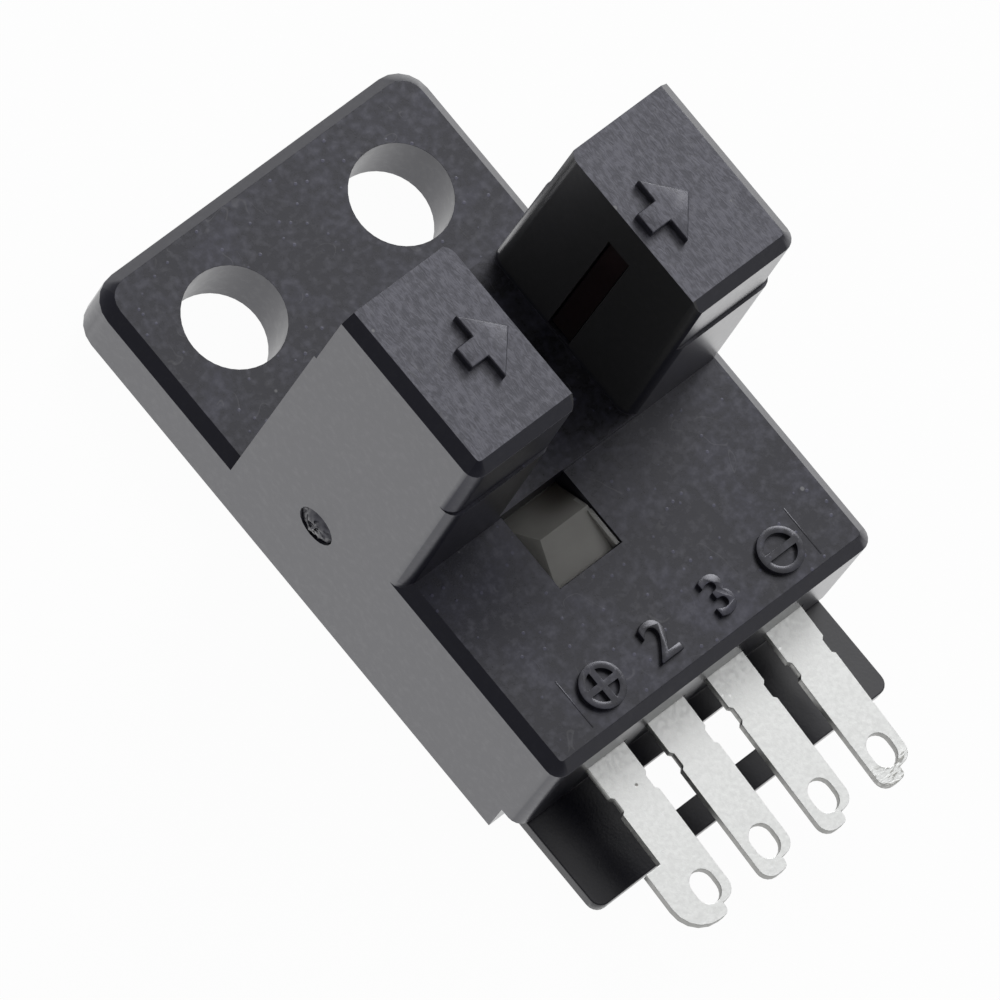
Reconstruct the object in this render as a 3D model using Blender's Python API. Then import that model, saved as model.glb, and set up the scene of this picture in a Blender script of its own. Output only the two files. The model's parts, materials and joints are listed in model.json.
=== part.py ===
"""A slotted optical switch: a light barrier with a mounting plate and four solder terminals.

Metres, +Z up. X runs across the sensing slot, with the plus terminal at -X. The mounting plate is at
+Y and the terminals leave at -Y. The origin is on the underside, in the middle of the length and of
the width.
"""

import math

import bmesh
import bpy
from mathutils import Matrix

MM = 0.001

# Case, outside
SLOT_WIDTH = 5.0 * MM
TOWER_WIDTH = 4.2 * MM
TOWER_DEPTH = 6.4 * MM
TOWER_HEIGHT = 15.1 * MM
TOWER_DRAFT = 0.2 * MM  # how much further forward the foot of a tower's front face is than its top
SLOT_STEP = 0.4 * MM  # the slot's floor above the body's top
SLOT_CORNER = 0.5 * MM  # radius of the towers' upright corners beside the slot
PARTING_DROP = 3.25 * MM  # the mould's parting line below the towers' tops
PARTING_STEP = 0.1 * MM
BODY_LENGTH = 7.6 * MM  # from the towers' fronts to the end face
PLATE_LENGTH = 7.0 * MM
PLATE_THICKNESS = 2.4 * MM
PLATE_CORNER = 1.1 * MM
CASE_CORNER = 0.5 * MM  # radius of the outer upright corners at the towers' fronts and the end face
EDGE_CHAMFER = 0.38 * MM
HOLE_DIAMETER = 3.4 * MM
HOLE_SPACING = 7.0 * MM
HOLE_INSET = 3.35 * MM  # from the plate's end edge to the holes' centres
GATE_DIAMETER = 1.4 * MM
GATE_DEPTH = 0.2 * MM
GATE_HEIGHT = 4.2 * MM

# Case, inside
SIDE_WALL = 1.2 * MM
SLOT_WALL = 0.8 * MM
TOP_WALL = 0.9 * MM
END_WALL = 0.8 * MM
BACK_WALL = 0.9 * MM
COVER_LEDGE = 0.4 * MM  # the step in the walls that the bottom cover is pressed against
REBATE_HEIGHT = 1.45 * MM  # the end wall stops this far above the underside, over the cover's tongue
RIB_WIDTH = 0.7 * MM
RIB_DEPTH = 0.5 * MM
RIB_INSET = 2.0 * MM  # from the cavity's end to the nearer rib
RIB_SPACING = 4.4 * MM

# Clearances
SEAT_GAP = 0.05 * MM  # between a piece and what it rests against
SIDE_GAP = 0.1 * MM  # round a piece that is dropped into a pocket

# Bottom cover, with the tongue that runs out under the terminals
COVER_RECESS = 0.65 * MM
COVER_THICKNESS = 0.5 * MM
TONGUE_WIDTH = 12.4 * MM
TONGUE_REACH = 3.4 * MM
TONGUE_CORNER = 0.4 * MM
TONGUE_BAR = 1.0 * MM
LATCH_WIDTH = 5.1 * MM
LATCH_OFFSET = 0.75 * MM  # from the case's end face to the latch window
POST_SIZE = 1.0 * MM
POST_SPACING = 5.0 * MM  # across, between the posts' centres
POST_INSET = 1.2 * MM  # from the board's ends to the posts' centres

# Circuit board and the terminals on it
BOARD_THICKNESS = 0.8 * MM
BOARD_HEIGHT = 2.25 * MM
BOARD_HEADROOM = 2.15 * MM  # from the board up to the case's top wall
BOARD_HOLE = 0.8 * MM
TERMINAL_PITCH = 2.5 * MM
TERMINAL_WIDTH = 1.5 * MM
TERMINAL_THICKNESS = 0.3 * MM
TERMINAL_REACH = 6.0 * MM
TERMINAL_HOLD = 2.8 * MM  # length inside the case
TERMINAL_DROOP = math.radians(6.0)
NECK_WIDTH = 1.3 * MM
NECK_START = 1.1 * MM
NECK_LENGTH = 0.65 * MM
PADDLE_START = 3.6 * MM  # the plus terminal widens here, on its outer side
PADDLE_EXTRA = 0.6 * MM
PADDLE_CORNER = 1.1 * MM
TIP_CORNER = 0.45 * MM
TIP_STEP = 0.35 * MM  # the strip's corner is sheared this much shorter on one side
TIP_SPLIT = 0.15 * MM
TIP_CUT_CORNER = 0.2 * MM
EYE_WIDTH = 0.87 * MM
EYE_LENGTH = 1.15 * MM
EYE_INSET = 1.05 * MM  # from the tip to the solder eye's centre

# Optics
BEAM_INSET = 3.2 * MM  # from the towers' backs to the beam
SLIT_WIDTH = 0.95 * MM
SLIT_BASE = 0.15 * MM  # from the slot's floor up to the slits
SLIT_CROWN = 1.75 * MM  # from the slits up to the towers' tops
SLIT_RECESS = 0.12 * MM
WINDOW_FLANGE = 0.4 * MM
WINDOW_WIDTH = 2.6 * MM
WINDOW_LIP = 0.4 * MM
PACKAGE_DEPTH = 1.2 * MM
PACKAGE_WIDTH = 3.0 * MM
PACKAGE_HEIGHT = 3.6 * MM
PACKAGE_EDGE = 0.15 * MM
LENS_DIAMETER = 1.6 * MM
LENS_RISE = 0.35 * MM
LEAD_SIZE = 0.4 * MM
LEAD_TAIL = 0.35 * MM
EMITTER_LEAD_PITCH = 2.0 * MM
RECEIVER_LEAD_PITCH = 1.0 * MM

# Indicator
GUIDE_OFFSET = -1.35 * MM  # its centre, across from the middle
GUIDE_WIDTH = 2.6 * MM
GUIDE_LENGTH = 2.8 * MM
GUIDE_RIDGE = 1.25 * MM  # from the window's tower side to the ridge
GUIDE_HIP = 0.52 * MM  # from the guide's outer side to the end of the ridge
GUIDE_SINK = 0.1 * MM  # the ridge below the body's top
GUIDE_BACK_FALL = 0.75 * MM
GUIDE_FRONT_FALL = 0.3 * MM
GUIDE_FLANGE = 0.5 * MM
GUIDE_LIP = 0.35 * MM
GUIDE_STEM = 1.8 * MM
INDICATOR_SIZE = (1.6 * MM, 0.8 * MM, 0.7 * MM)

# Small parts on the board: length, width, height
RESISTOR_SIZE = (1.6 * MM, 0.8 * MM, 0.45 * MM)
CAPACITOR_SIZE = (2.0 * MM, 1.25 * MM, 0.9 * MM)
DIODE_SIZE = (1.7 * MM, 1.25 * MM, 0.95 * MM)
DIODE_SPAN = 2.5 * MM
TRANSISTOR_SIZE = (2.9 * MM, 1.3 * MM, 1.0 * MM)
TRANSISTOR_SPAN = 2.3 * MM
TRANSISTOR_PITCH = 0.95 * MM
FOOT_WIDTH = 0.4 * MM
FOOT_HEIGHT = 0.25 * MM
CHIP_CAP = 0.3 * MM
CHIP_CAP_STEP = 0.04 * MM
MOULD_DRAFT = math.radians(7.0)

# Their places: across from the middle, and along from the board's tower end
LED_RESISTOR_PLACE = (0.4 * MM, 1.6 * MM)
CAPACITOR_PLACE = (-2.0 * MM, 3.2 * MM)
DIODE_PLACE = (1.7 * MM, 3.6 * MM)
BASE_RESISTOR_PLACE = (0.3 * MM, 5.7 * MM)
TRANSISTOR_PLACE = (3.2 * MM, 6.6 * MM)
INDICATOR_RESISTOR_PLACE = (-4.1 * MM, 7.6 * MM)
PULL_UP_RESISTOR_PLACE = (0.75 * MM, 3.1 * MM)  # along from the board's terminal end

HOLE_SIDES = 40
GATE_SIDES = 20
SMALL_SIDES = 12
ARC_STEPS = 5
OVERCUT = 1.0 * MM  # how far a cutter runs past the face that it opens
SKIM = 0.01 * MM  # how far outside a face a cutter stays that runs along it

# Places that follow from the sizes
WIDTH = SLOT_WIDTH + 2 * TOWER_WIDTH
CASE_LENGTH = PLATE_LENGTH + TOWER_DEPTH + BODY_LENGTH
PLATE_END = (CASE_LENGTH + TERMINAL_REACH) / 2
TOWER_BACK = PLATE_END - PLATE_LENGTH
TOWER_FRONT = TOWER_BACK - TOWER_DEPTH
TOWER_FOOT = TOWER_FRONT - TOWER_DRAFT
CASE_END = PLATE_END - CASE_LENGTH
BOARD_TOP = BOARD_HEIGHT + BOARD_THICKNESS
CAVITY_TOP = BOARD_TOP + BOARD_HEADROOM
BODY_HEIGHT = CAVITY_TOP + TOP_WALL
SLOT_FLOOR = BODY_HEIGHT + SLOT_STEP
FRONT_LEAN = TOWER_DRAFT / (TOWER_HEIGHT - BODY_HEIGHT)
PARTING_HEIGHT = TOWER_HEIGHT - PARTING_DROP
BEAM_Y = TOWER_BACK - BEAM_INSET
SLIT_LOW = SLOT_FLOOR + SLIT_BASE
SLIT_HIGH = TOWER_HEIGHT - SLIT_CROWN
BEAM_HEIGHT = (SLIT_LOW + SLIT_HIGH) / 2
CAVITY_HALF = WIDTH / 2 - SIDE_WALL
CAVITY_BACK = TOWER_BACK - BACK_WALL
CAVITY_END = CASE_END + END_WALL
POCKET_INNER = SLOT_WIDTH / 2 + SLOT_WALL
COVER_TOP = COVER_RECESS + COVER_THICKNESS
BOARD_HALF = CAVITY_HALF - SIDE_GAP
BOARD_BACK = CAVITY_BACK - SIDE_GAP
BOARD_END = CAVITY_END + SIDE_GAP
MOUNTED = BOARD_TOP + SEAT_GAP
TERMINAL_TOP = MOUNTED + TERMINAL_THICKNESS
NOTCH_WIDTH = TERMINAL_WIDTH + 2 * SIDE_GAP
TERMINAL_PLACES = [TERMINAL_PITCH * (number - 1.5) for number in range(4)]
PACKAGE_FACE = POCKET_INNER + SEAT_GAP + WINDOW_FLANGE + SEAT_GAP + LENS_RISE
PACKAGE_MIDDLE = PACKAGE_FACE + PACKAGE_DEPTH / 2
GUIDE_Y = TOWER_FOOT - GUIDE_LENGTH / 2


# Helpers


def clear_scene():
    for obj in list(bpy.data.objects):
        bpy.data.objects.remove(obj)


def material(name, colour, roughness, metallic=0.0, alpha=1.0):
    made = bpy.data.materials.new(name)
    made.use_nodes = True
    shader = made.node_tree.nodes["Principled BSDF"]
    shader.inputs["Base Color"].default_value = (*colour, 1.0)
    shader.inputs["Roughness"].default_value = roughness
    shader.inputs["Metallic"].default_value = metallic
    shader.inputs["Alpha"].default_value = alpha
    made.diffuse_color = (*colour, alpha)
    return made


def finish(name, bm, surface=None):
    """Turns a bmesh into an object of the scene, with its faces pointing out."""
    bmesh.ops.recalc_face_normals(bm, faces=bm.faces)
    mesh = bpy.data.meshes.new(name)
    bm.to_mesh(mesh)
    bm.free()
    obj = bpy.data.objects.new(name, mesh)
    bpy.context.scene.collection.objects.link(obj)
    if surface:
        mesh.materials.append(surface)
    return obj


def box(name, x, y, z, surface=None):
    """A block between two places on each axis."""
    bm = bmesh.new()
    size = Matrix.Diagonal((x[1] - x[0], y[1] - y[0], z[1] - z[0], 1))
    middle = Matrix.Translation((sum(x) / 2, sum(y) / 2, sum(z) / 2))
    bmesh.ops.create_cube(bm, size=1, matrix=middle @ size)
    return finish(name, bm, surface)


def prism_mesh(outline, start, end, axis="Z", hole=()):
    """A bmesh of a closed outline, with at most one hole, drawn out along an axis."""
    bm = bmesh.new()
    place = {
        "X": lambda a, b: (start, a, b),
        "Z": lambda a, b: (a, b, start),
    }[axis]
    edges = []
    for loop in filter(None, (outline, hole)):
        corners = [bm.verts.new(place(a, b)) for a, b in loop]
        edges += [bm.edges.new((corners[i - 1], corners[i])) for i in range(len(corners))]
    bmesh.ops.triangle_fill(bm, edges=edges, use_beauty=True)
    if not hole:
        bmesh.ops.dissolve_faces(bm, faces=bm.faces[:])
    drawn = bmesh.ops.extrude_face_region(bm, geom=bm.faces[:])["geom"]
    run = end - start
    step = (run, 0, 0) if axis == "X" else (0, 0, run)
    bmesh.ops.translate(bm, vec=step, verts=[v for v in drawn if isinstance(v, bmesh.types.BMVert)])
    return bm


def prism(name, outline, start, end, axis="Z", surface=None):
    return finish(name, prism_mesh(outline, start, end, axis), surface)


def cylinder(name, radius, middle, length, axis="Z", sides=HOLE_SIDES, surface=None):
    bm = bmesh.new()
    turn = Matrix.Rotation(math.pi / 2, 4, "Y") if axis == "X" else Matrix()
    bmesh.ops.create_cone(
        bm,
        cap_ends=True,
        segments=sides,
        radius1=radius,
        radius2=radius,
        depth=length,
        matrix=Matrix.Translation(middle) @ turn,
    )
    return finish(name, bm, surface)


def rounded(points, radii):
    """The outline with each corner rounded by its own radius, where that isn't zero."""
    drawn = []
    for i, (corner, radius) in enumerate(zip(points, radii)):
        before, after = points[i - 1], points[(i + 1) % len(points)]
        if radius == 0:
            drawn.append(corner)
            continue
        back = direction(corner, before)
        on = direction(corner, after)
        half = math.acos(max(-1, min(1, back[0] * on[0] + back[1] * on[1]))) / 2
        reach = radius / math.tan(half)
        middle_x = corner[0] + (back[0] + on[0]) * radius / math.sin(half) / (2 * math.cos(half))
        middle_y = corner[1] + (back[1] + on[1]) * radius / math.sin(half) / (2 * math.cos(half))
        first = (corner[0] + back[0] * reach, corner[1] + back[1] * reach)
        last = (corner[0] + on[0] * reach, corner[1] + on[1] * reach)
        start = math.atan2(first[1] - middle_y, first[0] - middle_x)
        sweep = math.atan2(last[1] - middle_y, last[0] - middle_x) - start
        sweep = (sweep + math.pi) % (2 * math.pi) - math.pi
        for step in range(ARC_STEPS + 1):
            angle = start + sweep * step / ARC_STEPS
            drawn.append((middle_x + radius * math.cos(angle), middle_y + radius * math.sin(angle)))
    return drawn


def direction(start, end):
    run, rise = end[0] - start[0], end[1] - start[1]
    length = math.hypot(run, rise)
    return run / length, rise / length


def boolean(target, other, operation):
    """Cuts or joins one solid with a helper, which stays in the scene but isn't rendered."""
    modifier = target.modifiers.new(other.name, "BOOLEAN")
    modifier.operation = operation
    modifier.solver = "EXACT"
    modifier.object = other
    other.hide_render = True
    other.display_type = "WIRE"
    other.parent = target


def cut(target, *cutters):
    for cutter in cutters:
        boolean(target, cutter, "DIFFERENCE")


def join(target, *pieces):
    for piece in pieces:
        boolean(target, piece, "UNION")


def chamfer(obj, width, segments=1):
    bevel = obj.modifiers.new("edges", "BEVEL")
    bevel.width = width
    bevel.segments = segments
    bevel.limit_method = "ANGLE"


# Case


def lean_front(bm):
    """Draws the towers' front faces further out towards their feet, by the mould's draft."""
    for vert in bm.verts:
        if vert.co.y < BEAM_Y:
            vert.co.y -= FRONT_LEAN * (TOWER_HEIGHT - vert.co.z)


def case_block(root, end, up, radius, chamfered=True, leaning=False):
    """A block as wide as the case, from its root to its end, whose upright end corners are rounded.

    Its top edges are chamfered along both sides and the end.
    """
    half = WIDTH / 2
    low, high = up
    corners = [(-half, root), (half, root), (half, end), (-half, end)]
    bm = prism_mesh(rounded(corners, [0, 0, radius, radius]), low, high)
    if leaning:
        lean_front(bm)
    if chamfered:
        above = [edge for edge in bm.edges if all(vert.co.z > high - SKIM for vert in edge.verts)]
        rim = [edge for edge in above if any(abs(vert.co.y - root) > SKIM for vert in edge.verts)]
        bmesh.ops.bevel(bm, geom=rim, offset=EDGE_CHAMFER, segments=1, profile=0.5, affect="EDGES")
    return bm


def slot_outline():
    """The slot from above, as (x, y), opening out over the towers' rounded corners at both mouths."""
    half, wide = SLOT_WIDTH / 2, SLOT_WIDTH / 2 + SLOT_CORNER + OVERCUT
    front, back = TOWER_FRONT - SKIM, TOWER_BACK + SKIM
    right = [
        (wide, back + OVERCUT),
        (wide, back),
        (half, back),
        (half, front),
        (wide, front),
        (wide, front - OVERCUT),
    ]
    radii = [0, 0, SLOT_CORNER, SLOT_CORNER, 0, 0]
    return rounded(right + [(-x, y) for x, y in reversed(right)], radii + radii)


def make_case(surface):
    """One moulding: the lower towers with their tops, the plate and the body joined on, then opened."""
    middle = TOWER_DEPTH / 2
    lower = (0, PARTING_HEIGHT)
    towers = case_block(TOWER_BACK, TOWER_FRONT, lower, CASE_CORNER, chamfered=False, leaning=True)
    case = finish("case", towers, surface)
    back, front = TOWER_BACK - PARTING_STEP, TOWER_FRONT + PARTING_STEP
    upper = (PARTING_HEIGHT - middle, TOWER_HEIGHT)
    tops = case_block(back, front, upper, CASE_CORNER, leaning=True)
    plate = case_block(TOWER_BACK - middle, PLATE_END, (0, PLATE_THICKNESS), PLATE_CORNER)
    body = case_block(TOWER_FRONT + middle, CASE_END, (0, BODY_HEIGHT), CASE_CORNER)
    join(case, finish("tower_tops", tops), finish("plate", plate), finish("body", body))
    slot = prism_mesh(slot_outline(), SLOT_FLOOR, TOWER_HEIGHT + OVERCUT)
    lean_front(slot)
    cut(case, finish("slot_cutter", slot))
    for side in (-1, 1):
        place = (side * HOLE_SPACING / 2, PLATE_END - HOLE_INSET, PLATE_THICKNESS / 2)
        cut(case, cylinder("hole_cutter", HOLE_DIAMETER / 2, place, PLATE_THICKNESS + OVERCUT))
    gate_place = (-WIDTH / 2, BEAM_Y, GATE_HEIGHT)
    cut(case, cylinder("gate_cutter", GATE_DIAMETER / 2, gate_place, 2 * GATE_DEPTH, "X", GATE_SIDES))
    hollow_case(case)
    open_case(case)
    return case


def hollow_case(case):
    """The cavity for the board, one pocket up each tower, and the step that seats the bottom cover."""
    half = CAVITY_HALF
    cut(case, box("cavity_cutter", (-half, half), (CAVITY_END, CAVITY_BACK), (-OVERCUT, CAVITY_TOP)))
    for side in (-1, 1):
        across = sorted((side * POCKET_INNER, side * CAVITY_HALF))
        along = (TOWER_FRONT + BACK_WALL, CAVITY_BACK)
        up = (CAVITY_TOP - RIB_DEPTH, TOWER_HEIGHT - TOP_WALL)
        cut(case, box("pocket_cutter", across, along, up))
    seat = half + COVER_LEDGE
    seat_top = COVER_TOP + SEAT_GAP
    along = (CASE_END - OVERCUT, CAVITY_BACK + COVER_LEDGE)
    cut(case, box("seat_cutter", (-seat, seat), along, (-OVERCUT, seat_top)))
    for side in (-1, 1):
        for number in range(2):
            middle = CAVITY_END + RIB_INSET + number * RIB_SPACING
            across = sorted((side * (half - RIB_DEPTH), side * (half + SIDE_WALL / 2)))
            along = (middle - RIB_WIDTH / 2, middle + RIB_WIDTH / 2)
            join(case, box("rib", across, along, (BOARD_TOP + SEAT_GAP, CAVITY_TOP + TOP_WALL / 2)))


def open_case(case):
    """The optical slits, the indicator window, the rebate over the tongue and the terminals' notches."""
    for side in (-1, 1):
        across = sorted((side * (SLOT_WIDTH / 2 - SLOT_WALL), side * (POCKET_INNER + SIDE_GAP)))
        along = (BEAM_Y - SLIT_WIDTH / 2, BEAM_Y + SLIT_WIDTH / 2)
        cut(case, box("slit_cutter", across, along, (SLIT_LOW, SLIT_HIGH)))
    across = (GUIDE_OFFSET - GUIDE_WIDTH / 2, GUIDE_OFFSET + GUIDE_WIDTH / 2)
    along = (GUIDE_Y - GUIDE_LENGTH / 2, GUIDE_Y + GUIDE_LENGTH / 2)
    cut(case, box("guide_cutter", across, along, (CAVITY_TOP - TOP_WALL, BODY_HEIGHT + OVERCUT)))
    up = (-OVERCUT, REBATE_HEIGHT)
    through = (CASE_END - OVERCUT, CAVITY_END + OVERCUT)
    cut(case, box("rebate_cutter", (-WIDTH, WIDTH), (CASE_END - OVERCUT, CAVITY_END), up))
    cut(case, box("throat_cutter", (-CAVITY_HALF, CAVITY_HALF), through, up))
    for place in TERMINAL_PLACES:
        across = (place - NOTCH_WIDTH / 2, place + NOTCH_WIDTH / 2)
        cut(case, box("notch_cutter", across, through, (-OVERCUT, TERMINAL_TOP + SIDE_GAP)))


# Bottom cover


def make_cover(surface):
    """A flat cover with a tongue beyond the case, four posts for the board and a tooth per terminal."""
    half = CAVITY_HALF + COVER_LEDGE - SEAT_GAP
    back = CAVITY_BACK + COVER_LEDGE - SEAT_GAP
    neck = CAVITY_END - SEAT_GAP
    tip = CASE_END - TONGUE_REACH
    wide = TONGUE_WIDTH / 2
    right = [(half, back), (half, neck), (wide, neck), (wide, tip)]
    outline = right + [(-x, y) for x, y in reversed(right)]
    radii = [0, 0, 0, TONGUE_CORNER, TONGUE_CORNER, 0, 0, 0]
    cover = prism("base_cover", rounded(outline, radii), COVER_RECESS, COVER_TOP, surface=surface)
    latch = (tip + TONGUE_BAR, CASE_END - LATCH_OFFSET)
    through = (COVER_RECESS - OVERCUT, COVER_TOP + OVERCUT)
    cut(cover, box("latch_cutter", (-LATCH_WIDTH / 2, LATCH_WIDTH / 2), latch, through))
    root = COVER_TOP - COVER_THICKNESS / 2
    for x in (-POST_SPACING / 2, POST_SPACING / 2):
        for y in (BOARD_END + POST_INSET, BOARD_BACK - POST_INSET):
            across = (x - POST_SIZE / 2, x + POST_SIZE / 2)
            along = (y - POST_SIZE / 2, y + POST_SIZE / 2)
            join(cover, box("post", across, along, (root, BOARD_HEIGHT - SEAT_GAP)))
    for place in TERMINAL_PLACES:
        across = (place - NOTCH_WIDTH / 2 + SEAT_GAP, place + NOTCH_WIDTH / 2 - SEAT_GAP)
        along = (CASE_END + SEAT_GAP, CAVITY_END - SEAT_GAP)
        join(cover, box("tooth", across, along, (root, MOUNTED - SEAT_GAP)))
    return cover


# Circuit board, leads and terminals


def lead_places():
    """The board's through holes by lead name, as (x, y)."""
    emitter = {"anode": 0.5, "cathode": -0.5}
    receiver = {"supply": 1, "output": 0, "ground": -1}
    places = {
        f"emitter_lead_{name}": (-PACKAGE_MIDDLE, BEAM_Y + EMITTER_LEAD_PITCH * step)
        for name, step in emitter.items()
    }
    for name, step in receiver.items():
        places[f"receiver_lead_{name}"] = (PACKAGE_MIDDLE, BEAM_Y + RECEIVER_LEAD_PITCH * step)
    return places


def make_board(surface):
    across, along = (-BOARD_HALF, BOARD_HALF), (BOARD_END, BOARD_BACK)
    board = box("circuit_board", across, along, (BOARD_HEIGHT, BOARD_TOP), surface)
    for x, y in lead_places().values():
        place = (x, y, BOARD_TOP)
        cut(board, cylinder("via_cutter", BOARD_HOLE / 2, place, 4 * BOARD_THICKNESS, sides=SMALL_SIDES))
    return board


def make_leads(surface):
    half = LEAD_SIZE / 2
    up = (BOARD_HEIGHT - LEAD_TAIL, BEAM_HEIGHT - PACKAGE_HEIGHT / 2 - SEAT_GAP)
    for name, (x, y) in lead_places().items():
        box(name, (x - half, x + half), (y - half, y + half), up, surface)


def terminal_outline(paddle):
    """A terminal from above, as (across, along), with along counted outwards from the case's end face."""
    half, neck = TERMINAL_WIDTH / 2, NECK_WIDTH / 2
    waist = half - neck
    neck_end = NECK_START + NECK_LENGTH
    right = [
        ((half, -TERMINAL_HOLD), 0),
        ((half, NECK_START), 0),
        ((neck, NECK_START + waist), 0),
        ((neck, neck_end - waist), 0),
        ((half, neck_end), 0),
        ((half, TERMINAL_REACH - TIP_STEP), TIP_CORNER),
        ((TIP_SPLIT, TERMINAL_REACH - TIP_STEP), 0),
        ((TIP_SPLIT, TERMINAL_REACH), TIP_CUT_CORNER),
    ]
    left = [((-x, y), 0) for (x, y), _ in reversed(right[:5])]
    if paddle:
        wide = half + PADDLE_EXTRA
        shoulder = [((-wide, PADDLE_START), 0), ((-half, PADDLE_START), 0)]
        tip = [((-wide, TERMINAL_REACH), PADDLE_CORNER)] + shoulder
    else:
        tip = [((-half, TERMINAL_REACH), TIP_CORNER)]
    points, radii = zip(*(right + tip + left))
    return rounded(points, radii)


def eye_outline():
    """The solder eye: an oblong whose round ends lie along the terminal."""
    radius = EYE_WIDTH / 2
    straight = (EYE_LENGTH - EYE_WIDTH) / 2
    middle = TERMINAL_REACH - EYE_INSET
    points = []
    for end, start in ((1, 0), (-1, math.pi)):
        for step in range(2 * ARC_STEPS + 1):
            angle = start + math.pi * step / (2 * ARC_STEPS)
            points.append((radius * math.cos(angle), middle + end * straight + radius * math.sin(angle)))
    return points


def make_terminals(surface):
    names = ("terminal_plus", "terminal_light", "terminal_output", "terminal_minus")
    for name, place in zip(names, TERMINAL_PLACES):
        outline = terminal_outline(paddle=name == "terminal_plus")
        bm = prism_mesh(outline, MOUNTED, TERMINAL_TOP, hole=eye_outline())
        for vert in bm.verts:
            out = max(0, vert.co.y)
            vert.co = (place + vert.co.x, CASE_END - vert.co.y, vert.co.z - out * math.tan(TERMINAL_DROOP))
        finish(name, crease_at_case_end(bm, place), surface)


def crease_at_case_end(bm, place):
    """Splits the strip where it leaves the case, so that it lies flat inside and droops outside."""
    geometry = bm.verts[:] + bm.edges[:] + bm.faces[:]
    bmesh.ops.bisect_plane(bm, geom=geometry, plane_co=(place, CASE_END, 0), plane_no=(0, 1, 0))
    for vert in bm.verts:
        if abs(vert.co.y - CASE_END) < SEAT_GAP / 10:
            vert.co.z = TERMINAL_TOP if vert.co.z > MOUNTED else MOUNTED
    return bm


# Optics


def make_window(name, side, surface):
    """An infrared window: a flange inside the tower and a rib that fills the slit."""
    across = sorted(side * x for x in (POCKET_INNER + SEAT_GAP, POCKET_INNER + SEAT_GAP + WINDOW_FLANGE))
    along = (BEAM_Y - WINDOW_WIDTH / 2, BEAM_Y + WINDOW_WIDTH / 2)
    window = box(name, across, along, (SLIT_LOW - WINDOW_LIP, SLIT_HIGH + WINDOW_LIP), surface)
    across = sorted(side * x for x in (SLOT_WIDTH / 2 + SLIT_RECESS, POCKET_INNER + WINDOW_FLANGE / 2))
    half = SLIT_WIDTH / 2 - SEAT_GAP
    up = (SLIT_LOW + SEAT_GAP, SLIT_HIGH - SEAT_GAP)
    join(window, box(f"{name}_rib", across, (BEAM_Y - half, BEAM_Y + half), up))
    return window


def make_package(name, side, surface):
    """An optical package on edge, with its lens dome towards the slot."""
    across = sorted(side * x for x in (PACKAGE_FACE, PACKAGE_FACE + PACKAGE_DEPTH))
    along = (BEAM_Y - PACKAGE_WIDTH / 2, BEAM_Y + PACKAGE_WIDTH / 2)
    up = (BEAM_HEIGHT - PACKAGE_HEIGHT / 2, BEAM_HEIGHT + PACKAGE_HEIGHT / 2)
    package = box(name, across, along, up, surface)
    chamfer(package, PACKAGE_EDGE)
    ball = (LENS_DIAMETER**2 / 4 + LENS_RISE**2) / (2 * LENS_RISE)
    bm = bmesh.new()
    middle = Matrix.Translation((side * (PACKAGE_FACE - LENS_RISE + ball), BEAM_Y, BEAM_HEIGHT))
    pole = Matrix.Rotation(math.pi / 2, 4, "Y")
    bmesh.ops.create_uvsphere(bm, u_segments=24, v_segments=20, radius=ball, matrix=middle @ pole)
    far = [v for v in bm.verts if side * v.co.x > PACKAGE_FACE + PACKAGE_DEPTH / 2]
    bmesh.ops.delete(bm, geom=far, context="VERTS")
    bmesh.ops.holes_fill(bm, edges=[edge for edge in bm.edges if edge.is_boundary])
    join(package, finish(f"{name}_lens", bm))
    return package


# Indicator


def make_light_guide(surface):
    """A clear prism in the window, ridged on top, with a flange under the case and a stem to the LED."""
    ridge = BODY_HEIGHT - GUIDE_SINK
    back = TOWER_FOOT - SIDE_GAP / 2
    front = TOWER_FOOT - GUIDE_LENGTH + SIDE_GAP / 2
    flange_top = CAVITY_TOP - SEAT_GAP
    flange_low = flange_top - GUIDE_FLANGE
    root = flange_low + GUIDE_FLANGE / 2
    half_stem = GUIDE_STEM / 2
    stem_end = MOUNTED + INDICATOR_SIZE[2] + SEAT_GAP
    half = GUIDE_WIDTH / 2 - SIDE_GAP / 2
    outer, inner = GUIDE_OFFSET - half, GUIDE_OFFSET + half
    points = [(x, y, root) for x in (outer, inner) for y in (back, front)]
    points += [(x, back, ridge - GUIDE_BACK_FALL) for x in (outer, inner)]
    points += [(x, front, ridge - GUIDE_FRONT_FALL) for x in (outer, inner)]
    points += [(x, TOWER_FOOT - GUIDE_RIDGE, ridge) for x in (outer + GUIDE_HIP, inner)]
    bm = bmesh.new()
    bmesh.ops.convex_hull(bm, input=[bm.verts.new(point) for point in points])
    guide = finish("indicator_light_guide", bm, surface)
    wide = GUIDE_WIDTH / 2 + GUIDE_LIP
    deep = GUIDE_LENGTH / 2 + GUIDE_LIP
    across, along = (GUIDE_OFFSET - wide, GUIDE_OFFSET + wide), (GUIDE_Y - deep, GUIDE_Y + deep)
    flange = box("guide_flange", across, along, (flange_low, flange_top))
    across = (GUIDE_OFFSET - half_stem, GUIDE_OFFSET + half_stem)
    along = (GUIDE_Y - half_stem, GUIDE_Y + half_stem)
    stem = box("guide_stem", across, along, (stem_end, flange_low + GUIDE_FLANGE / 2))
    join(guide, flange, stem)
    return guide


# Small parts on the board


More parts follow.
